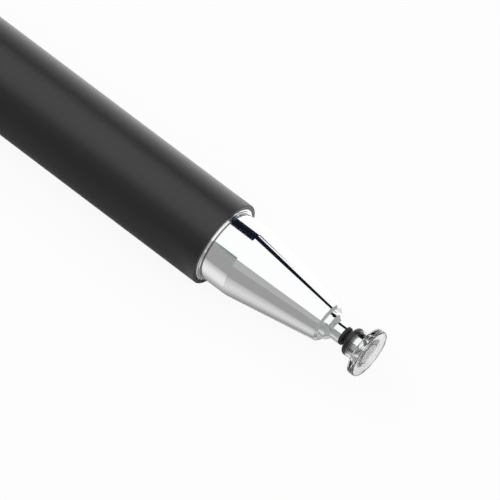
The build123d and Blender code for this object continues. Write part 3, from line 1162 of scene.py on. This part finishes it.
# %% Cap liner
LINER_RADIUS = 4.38 * MM
GRIP_START = 1.0 * MM
GRIP_LENGTH = 0.8 * MM
GRIP_RAMP = 0.3 * MM
GRIP_HEIGHT = 0.03 * MM
LINER_END_WALL = 2.0 * MM
SCREW_HOLE = 1.03 * MM
SCREW_SEAT = 1.85 * MM
SCREW_SEAT_DEPTH = 1.0 * MM

LINER_END_X, LINER_MOUTH_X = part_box("cap_liner")[0].x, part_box("cap_liner")[1].x
liner_floor_x = LINER_END_X + LINER_END_WALL
grip_x = LINER_MOUTH_X - GRIP_START
grip_end_x = grip_x - GRIP_LENGTH
liner = turned([
    (LINER_MOUTH_X, LINER_RADIUS),
    (LINER_MOUTH_X, BUSH_RADIUS),
    (LINER_END_X, BUSH_RADIUS),
    (LINER_END_X, SCREW_HOLE),
    (liner_floor_x - SCREW_SEAT_DEPTH, SCREW_HOLE),
    (liner_floor_x - SCREW_SEAT_DEPTH, SCREW_SEAT),
    (liner_floor_x, SCREW_SEAT),
    (liner_floor_x, LINER_RADIUS),
    (grip_end_x - GRIP_RAMP, LINER_RADIUS),
    (grip_end_x, LINER_RADIUS - GRIP_HEIGHT),
    (grip_x, LINER_RADIUS - GRIP_HEIGHT),
    (grip_x + GRIP_RAMP, LINER_RADIUS),
])
even_shading(dress("cap_liner", liner, moulded))

# %% [markdown]
# ## Finial and its screw
# The bright end of the cap has a shank inside the tube, a short rim and a low dome. The dome is an arc of
# a large circle. A pocket in its side takes the clip's tab. The steel screw that clamps it hides in the
# liner, so the CAD piece is good enough and only takes a finish.

# %% Finial
FINIAL_RIM = 1.4 * MM
FINIAL_ROUND = 0.3 * MM
DOME_STEPS = 16
SCREW_END_GAP = 0.03 * MM
CLIP_TAB_DEPTH = 1.1 * MM

FINIAL_TOP_X, FINIAL_SHANK_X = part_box("finial")[0].x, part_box("finial")[1].x
rim_x = CAP_END_X - FINIAL_RIM
dome_height = rim_x - FINIAL_TOP_X
dome_radius = (BARREL_RADIUS**2 + dome_height**2) / (2 * dome_height)
dome_angle = asin(BARREL_RADIUS / dome_radius)
dome_arc = []
for step in range(DOME_STEPS + 1):
    angle = dome_angle * step / DOME_STEPS
    dome_arc.append((FINIAL_TOP_X + dome_radius * (1 - cos(angle)), dome_radius * sin(angle)))
screw_end_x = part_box("finial_screw")[0].x - SCREW_END_GAP
finial_bm = turned(
    dome_arc + [
        (CAP_END_X, BARREL_RADIUS),
        (CAP_END_X, BUSH_RADIUS),
        (FINIAL_SHANK_X, BUSH_RADIUS),
        (FINIAL_SHANK_X, SCREW_HOLE),
        (screw_end_x, SCREW_HOLE),
        (screw_end_x, 0),
    ],
    {**{index: 0 for index in range(DOME_STEPS)}, DOME_STEPS: FINIAL_ROUND},
)
finial = dress("finial", finial_bm, plate)
cut_for_clip(
    finial, CAP_END_X, CAP_END_X + NOTCH_DEPTH + CLIP_PLAY,
    BUSH_RADIUS - CLIP_TAB_DEPTH - CLIP_PLAY, BUSH_RADIUS + CUT_OVERRUN,
)
crisp_shading(finial)
screw = frame["nodes"]["finial_screw"]
screw.data.materials.clear()
screw.data.materials.append(steel)
print("finial_screw keeps its own mesh and takes the finish", steel.name)

# %% [markdown]
# ## The clip's middle line
# The clip is a strip of spring metal. Its middle line is drawn in the clip's own plane, from the tab
# under the finial to the lifted tip, and its bends are rounded while it is still a wire.

# %% The clip's middle line
CLIP_LENGTH = 24 * MM
CLIP_GAP = 0.75 * MM
CLIP_TOE_LENGTH = 2.0 * MM
CLIP_DIP_LENGTH = 3.0 * MM
CLIP_TOE_GAP = 0.05 * MM
CLIP_TOE_LIFT = 0.6 * MM
CLIP_BEND = 0.8 * MM
BEND_STEPS = 8

root_x = joints["clip_flex"]["pos_m"][0]
line_radius = BARREL_RADIUS + CLIP_GAP + CLIP_THICKNESS / 2
toe_radius = BARREL_RADIUS + CLIP_TOE_GAP + CLIP_THICKNESS / 2
toe_x = root_x + CLIP_LENGTH - CLIP_TOE_LENGTH
clip_line = [
    Vector((root_x, BUSH_RADIUS - CLIP_TAB_DEPTH, -CLIP_WIDTH / 2)),
    Vector((root_x, line_radius, -CLIP_WIDTH / 2)),
    Vector((toe_x - CLIP_DIP_LENGTH, line_radius, -CLIP_WIDTH / 2)),
    Vector((toe_x, toe_radius, -CLIP_WIDTH / 2)),
    Vector((root_x + CLIP_LENGTH, toe_radius + CLIP_TOE_LIFT, -CLIP_WIDTH / 2)),
]
clip_bm = bmesh.new()
bends = [clip_bm.verts.new(point) for point in clip_line]
for first, second in zip(bends, bends[1:]):
    clip_bm.edges.new((first, second))
for index in range(1, len(bends) - 1):
    turn = (clip_line[index] - clip_line[index - 1]).angle(clip_line[index + 1] - clip_line[index])
    bmesh.ops.bevel(
        clip_bm, geom=[bends[index]], offset=CLIP_BEND * tan(turn / 2), offset_type="OFFSET",
        segments=BEND_STEPS, profile=0.5, affect="VERTICES", clamp_overlap=False, material=-1,
    )
print(f"the clip's line has {len(clip_bm.verts)} points")

# %% [markdown]
# ## Pocket clip
# The line is pulled out to the strip's width and turned to the side where the clip is. Solidify then
# gives it thickness on both sides of the line, and Bevel eases the edges that a stamped strip has.

# %% Pocket clip
CLIP_TIP_ROUND = 0.9 * MM
CLIP_EDGE = 0.08 * MM
CLIP_EDGE_STEPS = 3

pulled = bmesh.ops.extrude_edge_only(clip_bm, edges=clip_bm.edges[:])["geom"]
pulled_points = [part for part in pulled if isinstance(part, bmesh.types.BMVert)]
bmesh.ops.translate(clip_bm, verts=pulled_points, vec=(0, 0, CLIP_WIDTH))
tip_corners = [point for point in clip_bm.verts if point.co.x > root_x + CLIP_LENGTH - SHARP_EDGE]
bmesh.ops.bevel(
    clip_bm, geom=tip_corners, offset=CLIP_TIP_ROUND, offset_type="OFFSET", segments=BEND_STEPS,
    profile=0.5, affect="VERTICES", clamp_overlap=False, material=-1,
)
bmesh.ops.transform(clip_bm, verts=clip_bm.verts, matrix=clip_turn)
bmesh.ops.recalc_face_normals(clip_bm, faces=clip_bm.faces)
for face in clip_bm.faces:
    face.smooth = True
clip = dress("clip", clip_bm, plate)
thick = clip.modifiers.new("strip", "SOLIDIFY")
thick.thickness = CLIP_THICKNESS
thick.offset = 0
thick.use_even_offset = True
eased = clip.modifiers.new("eased_edges", "BEVEL")
eased.width = CLIP_EDGE
eased.segments = CLIP_EDGE_STEPS
eased.limit_method = "ANGLE"
crisp_shading(clip)
